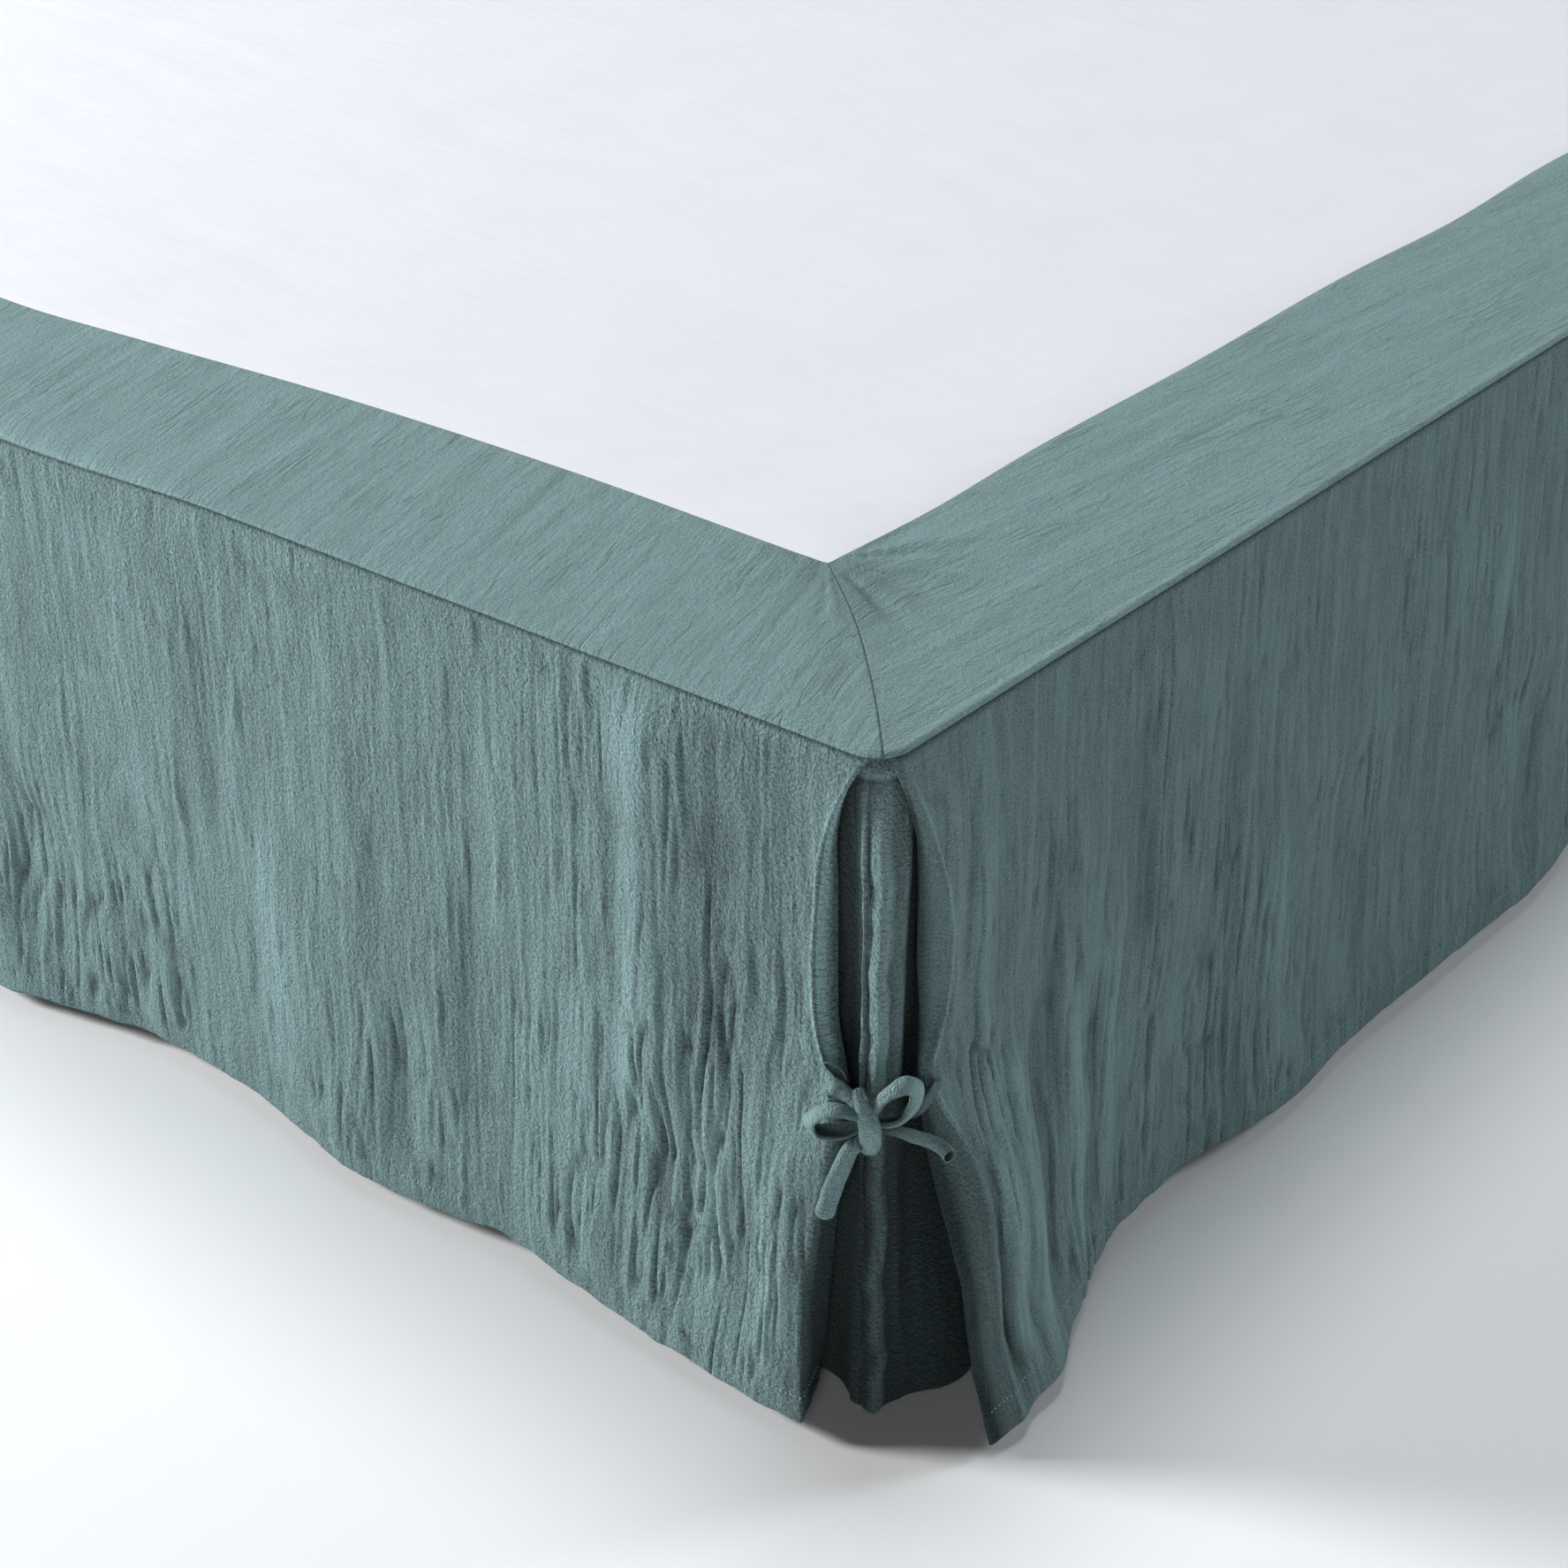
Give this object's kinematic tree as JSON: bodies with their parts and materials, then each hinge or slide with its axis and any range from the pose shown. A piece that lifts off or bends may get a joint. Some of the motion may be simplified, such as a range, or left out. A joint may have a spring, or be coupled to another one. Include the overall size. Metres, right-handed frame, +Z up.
{
  "type": "bed skirt on bed base",
  "caption": "Gauze bed skirt with a white cotton deck, a mitred border and tied split corners, on a plain bed base.",
  "frame": {"origin": "on the floor, under the middle of the whole", "axes": "+X to the bed's right side as seen from its foot, +Y along the bed from its foot to its head, +Z up"},
  "size_m": [1.5098, 1.9225, 0.363],
  "materials": {
    "gauze": "matte crinkled grey-green double gauze",
    "deck_cotton": "matte cool white plain cotton",
    "base_cover": "matte plain beige cover",
    "leg_wood": "satin plain beech"
  },
  "bodies": {
    "root": {"deck": "deck_cotton", "band_foot": "gauze", "band_left": "gauze", "band_right": "gauze", "skirt_foot": "gauze", "skirt_left": "gauze", "skirt_right": "gauze", "insert_left": "gauze", "insert_right": "gauze", "tie_foot_left": "gauze", "tie_side_left": "gauze", "tie_foot_right": "gauze", "tie_side_right": "gauze", "bed_base": "base_cover", "leg_foot_left": "leg_wood", "leg_foot_right": "leg_wood", "leg_middle_left": "leg_wood", "leg_middle_right": "leg_wood", "leg_head_left": "leg_wood", "leg_head_right": "leg_wood"}
  },
  "joints": []
}
